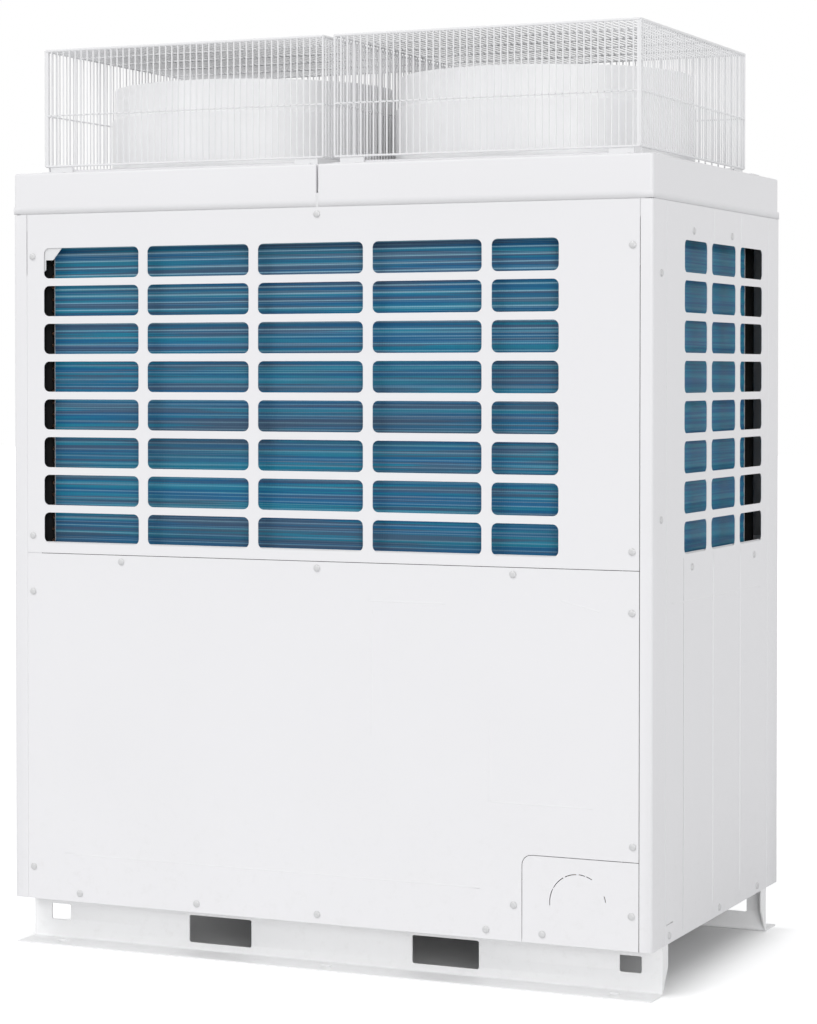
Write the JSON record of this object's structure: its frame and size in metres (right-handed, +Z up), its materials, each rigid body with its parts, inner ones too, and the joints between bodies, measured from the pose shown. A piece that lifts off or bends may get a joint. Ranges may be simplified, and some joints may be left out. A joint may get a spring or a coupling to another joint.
{
  "type": "air conditioner outdoor unit",
  "caption": "Top-blowing outdoor unit of a variable refrigerant flow air conditioner: painted cabinet with grille panels, shrouded fans under wire cages, on folded steel legs.",
  "frame": {"origin": "on the floor under the middle of the cabinet", "axes": "+Z up, the front faces -Y, +X to the right seen from the front"},
  "size_m": [1.246, 0.746, 1.6535],
  "materials": {
    "cabinet_paint": "satin",
    "leg_paint": "satin",
    "inner_paint": "satin",
    "guard_wire": "satin",
    "shroud_plastic": "satin",
    "fan_plastic": "matte",
    "motor_case": "cast",
    "coil_fins": "coated fins",
    "copper": "drawn copper",
    "valve_brass": "machined",
    "black_paint": "semi gloss",
    "galvanised": "zinc coated",
    "pad_rubber": "matte",
    "screw_steel": "plated"
  },
  "bodies": {
    "cabinet": {"front_upper_panel": "cabinet_paint", "front_lower_panel": "cabinet_paint", "pipe_cover": "cabinet_paint", "right_side_panel": "cabinet_paint", "left_side_panel": "cabinet_paint", "back_panel": "cabinet_paint", "left_cover": "cabinet_paint", "right_cover": "cabinet_paint", "front_right_post": "cabinet_paint", "front_left_post": "cabinet_paint", "rear_left_post": "cabinet_paint", "rear_right_post": "cabinet_paint", "front_leg": "leg_paint", "rear_leg": "leg_paint", "base_pan": "inner_paint", "deck": "inner_paint", "roof_frame": "inner_paint", "left_guard": "guard_wire", "back_guard": "guard_wire", "cage_feet": "guard_wire", "left_cage_front": "guard_wire", "left_cage_back": "guard_wire", "left_cage_left": "guard_wire", "left_cage_right": "guard_wire", "left_cage_top": "guard_wire", "right_cage_front": "guard_wire", "right_cage_back": "guard_wire", "right_cage_left": "guard_wire", "right_cage_right": "guard_wire", "right_cage_top": "guard_wire", "left_shroud": "shroud_plastic", "right_shroud": "shroud_plastic", "left_fan_motor": "motor_case", "right_fan_motor": "motor_case", "front_coil": "coil_fins", "back_coil": "coil_fins", "coil_headers": "copper", "discharge_pipe": "copper", "suction_pipe": "copper", "gas_pipe": "copper", "liquid_pipe": "copper", "four_way_valve": "valve_brass", "gas_valve": "valve_brass", "liquid_valve": "valve_brass", "compressor": "black_paint", "accumulator": "black_paint", "oil_separator": "black_paint", "motor_rails": "galvanised", "valve_bracket": "galvanised", "control_box": "galvanised", "control_box_cover": "galvanised", "compressor_pads": "pad_rubber", "panel_screws": "screw_steel"},
    "left_fan_wheel": {"left_fan": "fan_plastic", "left_fan_shaft": "galvanised"},
    "right_fan_wheel": {"right_fan": "fan_plastic", "right_fan_shaft": "galvanised"},
    "gas_stem": {"gas_valve_stem": "valve_brass"},
    "liquid_stem": {"liquid_valve_stem": "valve_brass"}
  },
  "joints": [
    {"name": "left_fan_spin", "type": "hinge", "parent": "cabinet", "child": "left_fan_wheel", "pos_m": [-0.295, -0.024, 1.492], "axis": [0, 0, 1], "continuous": true},
    {"name": "right_fan_spin", "type": "hinge", "parent": "cabinet", "child": "right_fan_wheel", "pos_m": [0.295, -0.024, 1.492], "axis": [0, 0, 1], "continuous": true},
    {"name": "gas_stem_turn", "type": "hinge", "parent": "cabinet", "child": "gas_stem", "pos_m": [0.455, -0.294, 0.196], "axis": [0, 0, 1], "range_deg": [0, 90]},
    {"name": "liquid_stem_turn", "type": "hinge", "parent": "cabinet", "child": "liquid_stem", "pos_m": [0.525, -0.294, 0.186], "axis": [0, 0, 1], "range_deg": [0, 90]}
  ]
}
